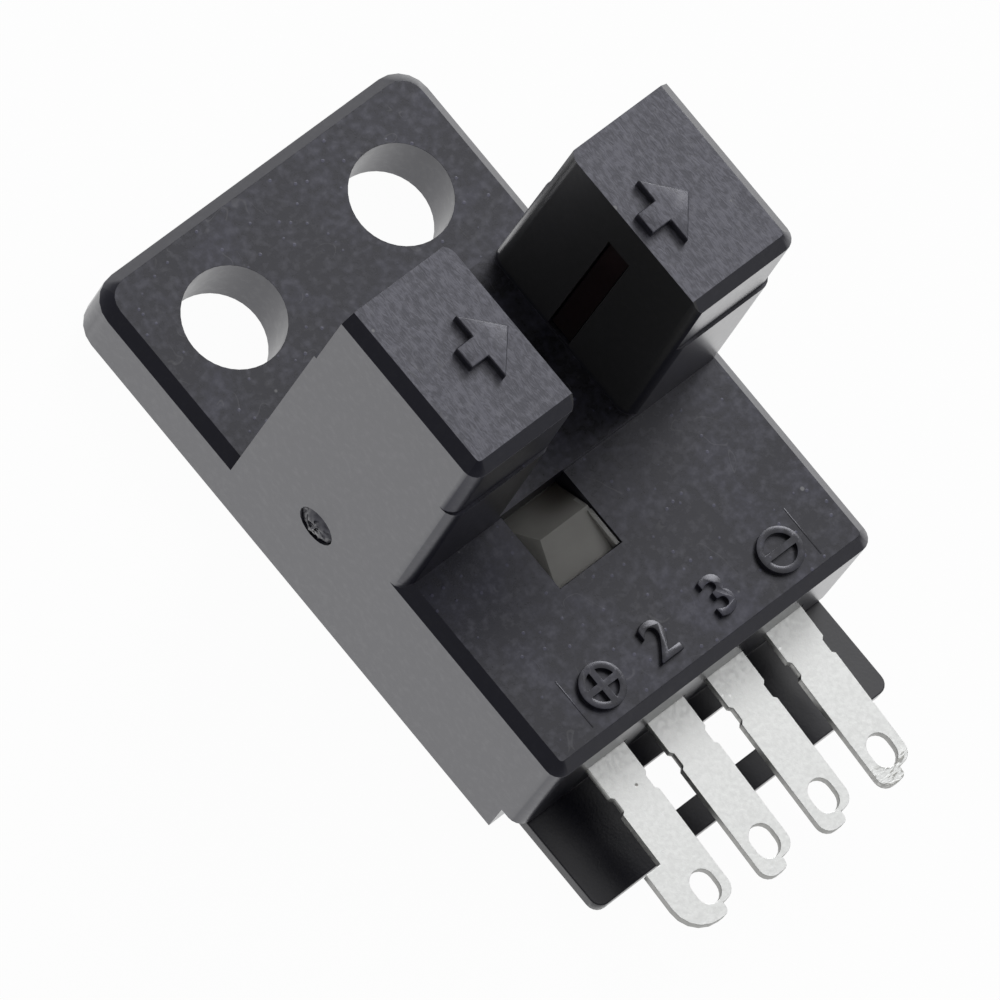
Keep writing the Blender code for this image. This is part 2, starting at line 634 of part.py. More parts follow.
def make_chip(name, place, size, surface):
    """A chip part whose metal end caps stand a little proud of its body, drawn out across its width."""
    length, width, height = size
    half, cap = length / 2, length / 2 - CHIP_CAP
    low, high = MOUNTED, MOUNTED + height
    left = [(-half, low), (-half, high), (-cap, high), (-cap, high - CHIP_CAP_STEP)]
    right = [(-y, z) for y, z in reversed(left)]
    under = [(cap, low), (cap, low + CHIP_CAP_STEP), (-cap, low + CHIP_CAP_STEP), (-cap, low)]
    profile = [(place[1] + y, z) for y, z in left + right + under]
    return prism(name, profile, place[0] - width / 2, place[0] + width / 2, "X", surface)


def make_moulded_part(name, place, size, span, feet, surface):
    """A moulded part on legs: a body drafted from its middle, with flat feet that reach past its sides."""
    length, width, height = size
    x, y = place
    middle = MOUNTED + height / 2
    taper = height * math.tan(MOULD_DRAFT) / 2
    low = MOUNTED + FOOT_HEIGHT / 2
    profile = [
        (y - width / 2, middle),
        (y - width / 2 + taper, MOUNTED + height),
        (y + width / 2 - taper, MOUNTED + height),
        (y + width / 2, middle),
        (y + width / 2 - taper, low),
        (y - width / 2 + taper, low),
    ]
    part = prism(name, profile, x - length / 2, x + length / 2, "X", surface)
    for shift, side in feet:
        across = (x + shift - FOOT_WIDTH / 2, x + shift + FOOT_WIDTH / 2)
        along = sorted((y + side * width / 4, y + side * span / 2))
        join(part, box(f"{name}_foot", across, along, (MOUNTED, MOUNTED + FOOT_HEIGHT)))
    return part


def on_board(place):
    """A place on the board, turned from an inset from the board's tower end into a y."""
    across, inset = place
    return across, BOARD_BACK - inset


def make_small_parts(black, ceramic, tan):
    make_chip("led_resistor", on_board(LED_RESISTOR_PLACE), RESISTOR_SIZE, ceramic)
    make_chip("bypass_capacitor", on_board(CAPACITOR_PLACE), CAPACITOR_SIZE, tan)
    make_chip("indicator_resistor", on_board(INDICATOR_RESISTOR_PLACE), RESISTOR_SIZE, ceramic)
    make_chip("base_resistor", on_board(BASE_RESISTOR_PLACE), RESISTOR_SIZE, ceramic)
    across, inset = PULL_UP_RESISTOR_PLACE
    make_chip("pull_up_resistor", (across, BOARD_END + inset), RESISTOR_SIZE, ceramic)
    make_chip("indicator_led", (GUIDE_OFFSET, GUIDE_Y), INDICATOR_SIZE, tan)
    both_ends = [(0, -1), (0, 1)]
    place = on_board(DIODE_PLACE)
    make_moulded_part("protection_diode", place, DIODE_SIZE, DIODE_SPAN, both_ends, black)
    three_legs = [(0, 1), (-TRANSISTOR_PITCH, -1), (TRANSISTOR_PITCH, -1)]
    place = on_board(TRANSISTOR_PLACE)
    make_moulded_part("output_transistor", place, TRANSISTOR_SIZE, TRANSISTOR_SPAN, three_legs, black)


def smooth_round_faces():
    for obj in bpy.context.scene.collection.objects:
        obj.data.shade_smooth()
        obj.data.set_sharp_from_angle(angle=math.radians(30))


def main():
    clear_scene()
    black = material("case_plastic", (0.045, 0.046, 0.052), 0.55)
    cover = material("cover_plastic", (0.03, 0.03, 0.033), 0.5)
    infrared = material("infrared_plastic", (0.03, 0.006, 0.008), 0.15)
    clear = material("light_guide_plastic", (0.42, 0.42, 0.4), 0.25, alpha=0.6)
    tin = material("tinned_metal", (0.72, 0.73, 0.71), 0.4, metallic=1.0)
    board = material("board_laminate", (0.03, 0.17, 0.07), 0.5)
    resin = material("optical_resin", (0.12, 0.05, 0.08), 0.2)
    ceramic = material("chip_ceramic", (0.05, 0.05, 0.06), 0.4)
    tan = material("chip_body", (0.5, 0.4, 0.28), 0.45)
    make_case(black)
    make_cover(cover)
    make_board(board)
    make_terminals(tin)
    make_leads(tin)
    make_window("emitter_window", -1, infrared)
    make_window("receiver_window", 1, infrared)
    make_package("emitter_package", -1, resin)
    make_package("receiver_package", 1, resin)
    make_light_guide(clear)
    make_small_parts(black, ceramic, tan)
    smooth_round_faces()


main()
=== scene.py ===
"""The looks of a slotted optical switch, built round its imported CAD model.

Metres, +Z up, in the CAD model's own frame: X runs across the slot, the mounting plate is at +Y, and
the four solder terminals leave at -Y.
"""

import json
import math

import bmesh
import bpy
from mathutils import Matrix, Vector

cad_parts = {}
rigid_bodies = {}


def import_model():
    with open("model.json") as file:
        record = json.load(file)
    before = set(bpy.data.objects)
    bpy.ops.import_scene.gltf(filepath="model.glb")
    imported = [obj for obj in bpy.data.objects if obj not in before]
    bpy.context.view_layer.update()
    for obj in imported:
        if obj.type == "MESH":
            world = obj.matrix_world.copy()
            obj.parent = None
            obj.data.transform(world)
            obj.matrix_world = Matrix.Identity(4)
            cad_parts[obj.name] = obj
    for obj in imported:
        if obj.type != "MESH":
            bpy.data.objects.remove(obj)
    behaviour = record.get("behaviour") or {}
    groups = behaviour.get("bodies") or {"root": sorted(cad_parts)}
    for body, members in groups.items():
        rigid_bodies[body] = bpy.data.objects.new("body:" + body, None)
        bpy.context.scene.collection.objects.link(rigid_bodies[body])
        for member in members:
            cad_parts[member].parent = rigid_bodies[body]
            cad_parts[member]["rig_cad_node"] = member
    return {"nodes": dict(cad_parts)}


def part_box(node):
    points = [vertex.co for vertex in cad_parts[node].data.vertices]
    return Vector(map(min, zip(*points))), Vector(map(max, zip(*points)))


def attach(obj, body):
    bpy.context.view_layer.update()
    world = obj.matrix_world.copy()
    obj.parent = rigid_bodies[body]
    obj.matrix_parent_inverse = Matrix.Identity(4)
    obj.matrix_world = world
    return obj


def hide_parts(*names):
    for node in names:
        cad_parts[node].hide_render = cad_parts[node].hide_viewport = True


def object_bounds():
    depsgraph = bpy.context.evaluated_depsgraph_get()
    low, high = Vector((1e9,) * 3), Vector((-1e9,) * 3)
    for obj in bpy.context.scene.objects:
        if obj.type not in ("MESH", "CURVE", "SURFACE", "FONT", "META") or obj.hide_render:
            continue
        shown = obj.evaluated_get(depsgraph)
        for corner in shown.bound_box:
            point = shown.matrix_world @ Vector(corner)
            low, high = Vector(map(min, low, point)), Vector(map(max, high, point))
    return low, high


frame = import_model()
CAD_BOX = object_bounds()

MM = 0.001

# Places on the switch
CASE_LOW, CASE_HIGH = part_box("case")
WINDOW_LOW, WINDOW_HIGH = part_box("emitter_window")
TOWER_TOP = CASE_HIGH.z
BEAM_Y = (WINDOW_LOW.y + WINDOW_HIGH.y) / 2
BODY_TOP = 6.1 * MM
TOWER_FOOT = BODY_TOP + 0.6 * MM  # a little above the body's top and the slot's floor
GUIDE_SIDE = -0.1 * MM  # the side of the light guide towards the middle
GUIDE_RIDGE_Y = -1.35 * MM
GUIDE_FRONT_Y = -2.85 * MM
TERMINALS = ("terminal_plus", "terminal_light", "terminal_output", "terminal_minus")

# Camera
CAMERA_AZIMUTH = math.radians(-76.312)
CAMERA_ELEVATION = math.radians(64.031)
CAMERA_ROLL = math.radians(37.947)
CAMERA_DISTANCE = 460.8 * MM
CAMERA_TARGET = Vector((-2.256, 0.367, 6.0)) * MM
CAMERA_LENS = 548.94  # in millimetres, as the sensor's width is
CAMERA_SENSOR = 36

# Studio
SKY = (0.22, 0.22, 0.22, 1)
FLOOR_RADIUS = 3.0
FLOOR_GLOW = 0.97  # how much of the floor is plain white to the camera and in reflections
LAMPS = {
    # azimuth and elevation in degrees, distance and size in metres, power in watts
    "overhead": (105, 60, 0.6, 0.6, 0.62),
    "key": (118, 40, 0.6, 0.25, 1.3),
}

# Raised marks
ARROW_RISE = 0.34 * MM
MARK_SINK = 0.1 * MM
MARK_EDGE = 0.05 * MM
ARROW_HALF_SHAFT = 0.38 * MM
ARROW_HALF_HEAD = 1.19 * MM
ARROWS = {
    # tail, start of the head, tip
    "emitter_tower_arrow": (-4.65 * MM, -3.98 * MM, -2.83 * MM),
    "receiver_tower_arrow": (2.79 * MM, 3.53 * MM, 4.63 * MM),
}
SYMBOL_Y = -6.02 * MM
PLUS_X = -3.7 * MM
MINUS_X = 3.79 * MM
SYMBOL_RADIUS = 0.77 * MM
SYMBOL_LINE = 0.23 * MM
SYMBOL_RISE = 0.2 * MM
SYMBOL_SIDES = 64
NUMBERS = {"2": -1.25 * MM, "3": 1.25 * MM}  # where each pin number stands, across
NUMBER_SIZE = 1.9 * MM
NUMBER_WEIGHT = 0.035 * MM  # added to each side of a number's strokes
NUMBER_STEPS = 5  # straight pieces to each part of a curve
INSERT_LINES = {"left": -4.75 * MM, "right": 4.85 * MM}  # where the mould insert's edge shows, across
INSERT_REACH = (-6.85 * MM, -5.05 * MM)
INSERT_FLASH = 0.05 * MM
INSERT_RISE = 0.012 * MM
INSERT_EDGE = INSERT_RISE * 0.9

# The moulding gate on the case's -X side
GATE_HEIGHT = 4.2 * MM
GATE_DEPTH = 0.2 * MM
GATE_STUB_RADIUS = 0.66 * MM
GATE_STUB_RISE = 0.1 * MM  # how far the torn stub stands out of the case's side
GATE_STUB_SIDES = 28
GATE_STUB_RINGS = 6
GATE_STUB_TEAR = 0.075 * MM  # how far its points are moved at random
GATE_STUB_SMOOTH = math.radians(50)
GATE_SEED = 7

# The small lip along the light guide's side
LIP_WIDTH = 0.14 * MM
LIP_BACK = GUIDE_RIDGE_Y - 0.15 * MM
LIP_BOTTOM = BODY_TOP - 1.0 * MM
LIP_TOP = BODY_TOP - 0.06 * MM
LIP_TINT_DEPTH = 0.3 * MM  # how far down from its top the lip has its own colour

# How far edges are rounded, and which
CASE_EDGE = 0.05 * MM
STRIP_EDGE = 0.04 * MM
GUIDE_EDGE = 0.06 * MM
SHARP = math.radians(30)  # edges that turn more than this are rounded
GUIDE_SHARP = math.radians(15)
SMOOTH = math.radians(35)  # faces that turn less than this are shaded as one
FLAT = math.radians(0.5)  # faces that turn less than this are merged into one
LEVEL = 0.98  # a face that points this far up or down is a flat top or underside

# Where surfaces look different
SLOT_REACH = 2.6 * MM  # from the middle to just inside the slot's walls
HOLES_REACH = 5.4 * MM  # from the middle to just past the mounting holes
HOLES_ALONG = (8.3 * MM, 12.0 * MM)
CORNER_REACH = 0.6 * MM  # from the case's -X side to just past the rounded corners of its towers
PAINTED_SHADOW_ACROSS = (-1.5 * MM, -5.5 * MM)  # painted shade on the body's top: its coat is cut over this span, towards the emitter's tower
PAINTED_SHADOW_ALONG = (-5.0 * MM, -0.8 * MM)
PAINTED_SHADOW_END = 0.2 * MM  # about where the towers' fronts stand
SHADE_ACROSS = (-2.0 * MM, -0.3 * MM)  # painted shade darkens the light guide's colour over this span, behind its ridge
SHADE_ALONG = (GUIDE_RIDGE_Y - 0.05 * MM, GUIDE_RIDGE_Y + 0.8 * MM)
LAST_TERMINAL_X = 2.5 * MM  # of the four terminals, only the last lies past this
TORN_ALONG = (CAD_BOX[0].y + 0.9 * MM, CAD_BOX[0].y + 0.5 * MM)  # from the tips' ends

# Colours
CHARCOAL = (0.85, 0.85, 1.5)  # tints, which grey levels are multiplied by
GROUND_PLASTIC = (0.95, 0.95, 1.15)
RESISTOR_BODY = (0.03, 0.03, 0.035, 1)
CAPACITOR_BODY = (0.36, 0.25, 0.15, 1)
LED_BODY = (0.75, 0.72, 0.60, 1)
CHIP_END = 0.19  # each plated end's share of a chip part's length
MOULDED_HALF = 0.27  # from a moulded part's middle to its feet, as a share of its length


# Modelling


def pick(obj):
    """Selects one object alone, and makes it active."""
    bpy.ops.object.select_all(action="DESELECT")
    obj.select_set(True)
    bpy.context.view_layer.objects.active = obj


def open_mesh(obj):
    """Starts to edit one object's mesh."""
    pick(obj)
    bpy.ops.object.mode_set(mode="EDIT")


def close_mesh():
    bpy.ops.object.mode_set(mode="OBJECT")


def select_faces(obj, wanted):
    """Selects the faces that the test wanted(face) picks, in a mesh that is open."""
    mesh = bmesh.from_edit_mesh(obj.data)
    for face in mesh.faces:
        face.select_set(wanted(face))
    bmesh.update_edit_mesh(obj.data)


def is_level(face):
    return abs(face.normal.z) > LEVEL


def added(name):
    """The primitive that was just added, under its own name."""
    obj = bpy.context.object
    obj.name = name
    obj.data.name = name
    return obj


def apply_modifier(obj, kind, **settings):
    modifier = obj.modifiers.new(kind.lower(), kind)
    for name, value in settings.items():
        setattr(modifier, name, value)
    pick(obj)
    bpy.ops.object.modifier_apply(modifier=modifier.name)


def soften(obj, width, segments=2, angle=SHARP, flat_tops=False):
    """Rounds every sharp edge a little, and shades the piece smooth between its flat faces."""
    apply_modifier(
        obj,
        "BEVEL",
        width=width,
        segments=segments,
        face_strength_mode="FSTR_ALL",
        limit_method="ANGLE",
        angle_limit=angle,
    )
    pick(obj)
    bpy.ops.object.shade_smooth_by_angle(angle=SMOOTH)
    if flat_tops:
        open_mesh(obj)
        select_faces(obj, is_level)
        bpy.ops.mesh.faces_shade_flat()
        close_mesh()
    apply_modifier(obj, "WEIGHTED_NORMAL", keep_sharp=True, weight=50, use_face_influence=True)


def split_faces(obj):
    """Cuts a piece's many-sided faces into triangles, so that rounding leaves none that overlap."""
    open_mesh(obj)
    bpy.ops.mesh.select_all(action="SELECT")
    bpy.ops.mesh.quads_convert_to_tris(quad_method="BEAUTY", ngon_method="BEAUTY")
    close_mesh()


def merge_faces(obj, threshold):
    """Merges points that lie this close together, and then the faces that lie in one plane."""
    open_mesh(obj)
    bpy.ops.mesh.select_all(action="SELECT")
    bpy.ops.mesh.remove_doubles(threshold=threshold)
    bpy.ops.mesh.dissolve_limited(angle_limit=FLAT)
    close_mesh()


def joined(obj, others):
    """Unites other pieces with this one, and takes them out of the scene."""
    for other in others:
        apply_modifier(obj, "BOOLEAN", operation="UNION", solver="EXACT", object=other)
        bpy.data.objects.remove(other)
    return obj


def place_in_mesh(obj):
    """Moves an object's place, turn and size into its mesh."""
    pick(obj)
    bpy.ops.object.transform_apply(location=True, rotation=True, scale=True)


def stand_in(node, name):
    """A piece that shows instead of a CAD node: its copy, with triangles merged into whole faces."""
    obj = frame["nodes"][node].copy()
    obj.data = obj.data.copy()
    obj.name = name
    del obj["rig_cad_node"]
    bpy.context.scene.collection.objects.link(obj)
    merge_faces(obj, 0.002 * MM)
    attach(obj, "root")
    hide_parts(node)
    return obj


def coat(obj, surface):
    """Gives an object one material alone."""
    obj.data.materials.clear()
    obj.data.materials.append(surface)


def block(name, x, y, z):
    """A block between two places along each axis."""
    size = (x[1] - x[0], y[1] - y[0], z[1] - z[0])
    middle = (sum(x) / 2, sum(y) / 2, sum(z) / 2)
    bpy.ops.mesh.primitive_cube_add(size=1, location=middle, scale=size)
    obj = added(name)
    place_in_mesh(obj)
    return obj


# Raised marks on the case


def make_arrow(name, tail, neck, tip):
    """A raised block arrow that points along +X."""
    low, high = TOWER_TOP - MARK_SINK, TOWER_TOP + ARROW_RISE
    run = tip - neck
    radius = run * 2 / 3  # a triangle's tip is twice as far from its middle as its base is
    bpy.ops.mesh.primitive_cylinder_add(
        vertices=3,
        radius=radius,
        depth=high - low,
        location=(neck + run / 3, BEAM_Y, (low + high) / 2),
        rotation=(0, 0, -math.pi / 2),
    )
    head = added(name)
    place_in_mesh(head)
    stretch = ARROW_HALF_HEAD / max(vert.co.y - BEAM_Y for vert in head.data.vertices)
    for vert in head.data.vertices:
        vert.co.y = BEAM_Y + (vert.co.y - BEAM_Y) * stretch
    along = (BEAM_Y - ARROW_HALF_SHAFT, BEAM_Y + ARROW_HALF_SHAFT)
    shaft = block("shaft", (tail, neck + run / 4), along, (low, high))  # it ends inside the head
    arrow = joined(head, [shaft])
    soften(arrow, MARK_EDGE, segments=3)
    return arrow


def make_symbol(name, x, upright):
    """A raised ring with a level bar across it, and an upright one too for the plus sign."""
    low, high = BODY_TOP - MARK_SINK, BODY_TOP + SYMBOL_RISE
    bpy.ops.mesh.primitive_cylinder_add(
        vertices=SYMBOL_SIDES,
        radius=SYMBOL_RADIUS,
        depth=high - low,
        location=(x, SYMBOL_Y, (low + high) / 2),
    )
    ring = added(name)
    place_in_mesh(ring)
    open_mesh(ring)
    select_faces(ring, is_level)
    bpy.ops.mesh.inset(thickness=SYMBOL_LINE)
    bpy.ops.mesh.bridge_edge_loops()
    close_mesh()
    half = SYMBOL_LINE / 2
    reach = SYMBOL_RADIUS - half
    bars = [block("bar", (x - reach, x + reach), (SYMBOL_Y - half, SYMBOL_Y + half), (low, high))]
    if upright:
        bars.append(
            block("bar", (x - half, x + half), (SYMBOL_Y - reach, SYMBOL_Y + reach), (low, high))
        )
    symbol = joined(ring, bars)
    soften(symbol, MARK_EDGE / 2)
    return symbol


def make_number(name, digit, x):
    """A raised pin number, which reads from the terminals' side."""
    bpy.ops.object.text_add(location=(0, 0, 0))
    text = bpy.context.object
    text.data.body = digit
    text.data.size = NUMBER_SIZE
    text.data.align_x = "CENTER"
    text.data.align_y = "CENTER"
    text.data.extrude = (SYMBOL_RISE + MARK_SINK) / 2
    text.data.offset = NUMBER_WEIGHT
    text.data.resolution_u = NUMBER_STEPS
    pick(text)
    bpy.ops.object.convert(target="MESH")
    number = added(name)
    number.location = (x, SYMBOL_Y, BODY_TOP + (SYMBOL_RISE - MARK_SINK) / 2)
    place_in_mesh(number)
    merge_faces(number, 0.001 * MM)
    soften(number, MARK_EDGE / 2)
    return number


def make_insert_line(name, x):
    """The thin flash that the edge of the mould's insert left beside the row of symbols."""
    half = INSERT_FLASH / 2
    up = (BODY_TOP - half, BODY_TOP + INSERT_RISE)
    line = block(name, (x - half, x + half), INSERT_REACH, up)
    soften(line, INSERT_EDGE)
    return line


def make_gate_stub():
    """The torn stub of the moulding's runner, in its dimple on the case's -X side."""
    bottom = CASE_LOW.x + GATE_DEPTH
    bpy.ops.mesh.primitive_cylinder_add(
        vertices=GATE_STUB_SIDES,
        radius=GATE_STUB_RADIUS,
        depth=GATE_DEPTH,
        location=(bottom - GATE_DEPTH / 4, BEAM_Y, GATE_HEIGHT),
        rotation=(0, -math.pi / 2, 0),
    )
    stub = added("gate_stub")
    place_in_mesh(stub)
    open_mesh(stub)
    select_faces(stub, lambda face: face.normal.x < -0.5)
    for ring in range(GATE_STUB_RINGS):
        bpy.ops.mesh.inset(thickness=GATE_STUB_RADIUS / (GATE_STUB_RINGS + 1))
    close_mesh()
    for vert in stub.data.vertices:
        if vert.co.x < bottom - GATE_DEPTH / 2:
            out = math.hypot(vert.co.y - BEAM_Y, vert.co.z - GATE_HEIGHT) / GATE_STUB_RADIUS
            dome = GATE_DEPTH + GATE_STUB_RISE * (1 - 2 * out * out)
            vert.co.x = bottom - dome
    open_mesh(stub)
    bpy.ops.mesh.select_all(action="SELECT")
    bpy.ops.transform.vertex_random(offset=GATE_STUB_TEAR, seed=GATE_SEED)
    bpy.ops.mesh.normals_make_consistent(inside=False)
    close_mesh()
    bpy.ops.object.shade_smooth_by_angle(angle=GATE_STUB_SMOOTH)
    return stub


# Materials


class Wire:
    """A node's output that arithmetic works on: each operator adds one Math node to its finish."""

    def __init__(self, finish, socket):
        self.finish = finish
        self.socket = socket

    def maths(self, operation, *values):
        return self.finish.node("Math", {"operation": operation}, dict(enumerate(values)))

    def __abs__(self):
        return self.maths("ABSOLUTE", self)

    def __add__(self, other):
        return self.maths("ADD", self, other)

    def __sub__(self, other):
        return self.maths("SUBTRACT", self, other)

    def __rsub__(self, other):
        return self.maths("SUBTRACT", other, self)

    def __mul__(self, other):
        return self.maths("MULTIPLY", self, other)

    def __gt__(self, other):
        return self.maths("GREATER_THAN", self, other)

    def __lt__(self, other):
        return self.maths("LESS_THAN", self, other)

    __radd__ = __add__


class Finish:
    """One material under construction, with its patterns measured in metres on the object."""

    def __init__(self, name):
        self.material = bpy.data.materials.new(name)
        self.material.use_nodes = True
        self.tree = self.material.node_tree
        self.shader = self.tree.nodes["Principled BSDF"]
        self.place = self.node("TexCoord", output="Object")

    def node(self, kind, settings=None, values=None, output=0):
        """Adds a node: its settings first, then its sockets' values or links."""
        made = self.tree.nodes.new("ShaderNode" + kind)
        for name, value in (settings or {}).items():
            setattr(made, name, value)
        for name, value in (values or {}).items():
            self.feed(made.inputs[name], value)
        return Wire(self, made.outputs[output])

    def feed(self, socket, value):
        if isinstance(value, Wire):
            self.tree.links.new(value.socket, socket)
        else:
            socket.default_value = value

    def surface(self, **sockets):
        """Sets the shader's sockets, and hands over the finished material."""
        for name, value in sockets.items():
            self.feed(self.shader.inputs[name.replace("_", " ")], value)
        return self.material

    def noise(self, size, detail=2.0, stretch=(1, 1, 1), distortion=0.0):
        """Noise whose patches are about this many metres across."""
        scale = tuple(1 / (size * part) for part in stretch)
        place = self.node("Mapping", values={"Vector": self.place, "Scale": scale})
        values = {"Vector": place, "Scale": 1.0, "Detail": detail, "Distortion": distortion}
        return self.node("TexNoise", values=values)

    def specks(self, spacing, radius):
        """1 in small round spots that lie about this far apart, and 0 between them."""
        scale = (1 / spacing,) * 3
        place = self.node("Mapping", values={"Vector": self.place, "Scale": scale})
        distance = self.node("TexVoronoi", values={"Vector": place, "Scale": 1.0})
        return self.ramp(distance, radius / spacing, 0.6 * radius / spacing)

    def ramp(self, value, start, end, low=0.0, high=1.0):
        """Runs from low to high as the value runs from start to end, and stops there."""
        values = {"Value": value, "From Min": start, "From Max": end, "To Min": low, "To Max": high}
        return self.node("MapRange", {"interpolation_type": "SMOOTHSTEP"}, values)

    def mix(self, factor, first, second):
        """The first colour where the factor is 0, and the second where it is 1."""
        values = {0: factor, 6: first, 7: second}
        return self.node("Mix", {"data_type": "RGBA"}, values, output=2)

    def bump(self, height, depth):
        """A normal from a height between 0 and 1, where 1 stands this many metres high."""
        return self.node("Bump", values={"Height": height, "Distance": depth, "Strength": 1.0})

    def axis(self, name):
        """The place on the object along one axis, in metres."""
        return self.node("SeparateXYZ", values={"Vector": self.place}, output=name)

    def facing(self, name, kind="True Normal"):
        """How far the surface faces along one axis, from -1 to 1."""
        normal = self.node("NewGeometry", output=kind)
        return self.node("SeparateXYZ", values={"Vector": normal}, output=name)

    def between(self, value, low, high):
        """1 where the value lies between low and high, and 0 elsewhere."""
        return (value > low) * (value < high)


def grey(level, tint=(1.0, 1.0, 1.0)):
    return (level * tint[0], level * tint[1], level * tint[2], 1.0)


def coat_cuts_and_painted_shade(finish, up):
    """How much less the case's coat shines in some places, where up is 1 on what faces upwards; all but
    the holes' walls are painted shade.
    """
    across, along, height = (finish.axis(name) for name in "XYZ")
    bores = finish.between(along, *HOLES_ALONG) * finish.between(across, -HOLES_REACH, HOLES_REACH)
    # The case's rounded upright corners at its -X side, between its side and its front or back: painted
    # shade there dims the highlight they would catch.
    outward = 0 - finish.facing("X", "Normal")
    corners = finish.ramp(outward, 0.99, 0.93) * finish.ramp(outward, 0.05, 0.25)
    corners = corners * (across < CASE_LOW.x + CORNER_REACH)
    # Painted shade on the emitter tower's front and its edges.
    tower_front = (finish.facing("Y") < -0.3) * (across < 0) * (height > BODY_TOP)
    upright = (bores * 0.42 + corners * 0.4 + tower_front * 0.3) * (1 - up)
    # Painted shade on the body's top, towards the emitter tower's foot.
    painted_foot_shade = finish.ramp(across, *PAINTED_SHADOW_ACROSS) * finish.ramp(along, *PAINTED_SHADOW_ALONG)
    return upright + painted_foot_shade * (along < PAINTED_SHADOW_END) * up * 0.78


def make_case_plastic():
    """Glass-filled black plastic: cloudy and speckled on its flat tops, ground on the towers' tops."""
    finish = Finish("case_plastic")
    height = finish.axis("Z")
    up = finish.facing("Z") > 0.9
    high = height > TOWER_TOP - 0.1 * MM
    tower_top = up * high
    flat_top = up * (1 - high)

    cloud = finish.noise(1.9 * MM, detail=3.0, distortion=0.6)
    mottle = finish.noise(0.26 * MM, detail=5.0)
    grain = finish.noise(0.07 * MM)
    ground = finish.noise(0.10 * MM, detail=4.0, stretch=(1, 3.5, 1), distortion=1.2)
    fibres = finish.specks(0.5 * MM, 0.07 * MM)
    dust = finish.specks(1.7 * MM, 0.09 * MM)
    wander = finish.noise(1.3 * MM, detail=0.0, distortion=1.0)
    sparse = finish.ramp(finish.noise(1.1 * MM, detail=0.0), 0.60, 0.66)
    scuffs = finish.ramp(abs(wander - 0.5), 0.012, 0.004)

    tone = finish.ramp(cloud * 0.5 + mottle * 0.5, 0.42, 0.70)
    cloudy = finish.mix(tone, grey(0.002, CHARCOAL), grey(0.030, CHARCOAL))
    cloudy = finish.mix(fibres * 0.6, cloudy, grey(0.09, CHARCOAL))
    # Painted light: the slot's walls and floor get a lighter grey than the case's other sides, against
    # the slot's shade.
    painted_slot_light = finish.between(finish.axis("X"), -SLOT_REACH, SLOT_REACH) * (height > TOWER_FOOT)
    sides = finish.mix(painted_slot_light, grey(0.012, CHARCOAL), grey(0.035))
    colour = finish.mix(flat_top, sides, cloudy)
    lines = finish.ramp(ground * 0.45 + mottle * 0.35 + cloud * 0.2, 0.42, 0.58)
    brushed = finish.mix(lines, grey(0.065, GROUND_PLASTIC), grey(0.135, GROUND_PLASTIC))
    colour = finish.mix(tower_top, colour, brushed)
    colour = finish.mix(scuffs * sparse * up * 0.2, colour, grey(0.20))
    colour = finish.mix(dust * up * 0.7, colour, grey(0.30))

    roughness = 0.31 + (tone - 0.5) * up * 0.08 + tower_top * 0.14
    texture = grain * 0.2 + mottle * (0.1 + up * 0.2) + fibres * flat_top * 0.4
    texture = texture * (1 - tower_top) + ground * tower_top * 1.5
    shine = finish.ramp(mottle * 0.8 + grain * 0.2, 0.45, 0.75)
    coat_weight = 0.68 - up * 0.06 + shine * (0.18 + up * 0.27) - coat_cuts_and_painted_shade(finish, up)
    return finish.surface(
        Base_Color=colour,
        Roughness=roughness,
        Specular_Tint=(0.85, 0.85, 1.0, 1.0),
        Normal=finish.bump(texture, 0.008 * MM),
        Coat_Weight=coat_weight,
        Coat_Roughness=0.28,
    )


def make_cover_plastic():
    """Black plastic with flow marks along it, and painted light: its coat shines more towards +X."""
    finish = Finish("cover_plastic")
    flow = finish.noise(1.2 * MM, detail=5.0, stretch=(1, 3, 1))
    grain = finish.noise(0.09 * MM)
    colour = finish.mix(flow, grey(0.008, CHARCOAL), grey(0.016, CHARCOAL))
    roughness = finish.ramp(flow, 0.3, 0.7, 0.28, 0.38)
    return finish.surface(
        Base_Color=colour,
        Roughness=roughness,
        Normal=finish.bump(grain, 0.004 * MM),
        # Painted light: the coat is weak at -X and full at +X, so the tongue looks lit towards +X.
        Coat_Weight=finish.ramp(finish.axis("X"), -3 * MM, 4 * MM, 0.14, 1.0),
        Coat_Roughness=0.28,
    )


def make_infrared_plastic():
    """Dark red plastic that looks almost black."""
    finish = Finish("infrared_plastic")
    flow = finish.noise(0.8 * MM, detail=3.0)
    colour = finish.mix(flow, (0.008, 0.002, 0.002, 1), (0.016, 0.004, 0.004, 1))
    roughness = finish.ramp(flow, 0.3, 0.7, 0.3, 0.4)
    return finish.surface(Base_Color=colour, Roughness=roughness)


def make_light_guide_plastic():
    """Milky grey plastic, with painted shade behind the ridge and a light lip."""
    finish = Finish("light_guide_plastic")
    across = finish.axis("X")
    flow = finish.noise(0.7 * MM, detail=3.0)
    scuff = finish.noise(0.12 * MM, stretch=(4, 1, 1))
    colour = finish.mix(flow, (0.27, 0.265, 0.25, 1), (0.34, 0.335, 0.32, 1))
    # Painted shade: the guide is coloured darker behind its ridge, towards its back corner.
    painted_shade = finish.ramp(across, *SHADE_ACROSS) * finish.ramp(finish.axis("Y"), *SHADE_ALONG)
    colour = finish.mix(painted_shade, colour, (0.07, 0.062, 0.055, 1))
    lip = (across > GUIDE_SIDE - LIP_WIDTH) * (finish.axis("Z") > LIP_TOP - LIP_TINT_DEPTH)
    colour = finish.mix(lip, colour, (0.3, 0.3, 0.29, 1))
    roughness = finish.ramp(scuff, 0.3, 0.7, 0.28, 0.38)
    return finish.surface(
        Base_Color=colour,
        Roughness=roughness,
        Normal=finish.bump(scuff, 0.004 * MM),
        Subsurface_Weight=0.6,
        Subsurface_Scale=0.6 * MM,
        Subsurface_Radius=(1, 1, 1),
    )


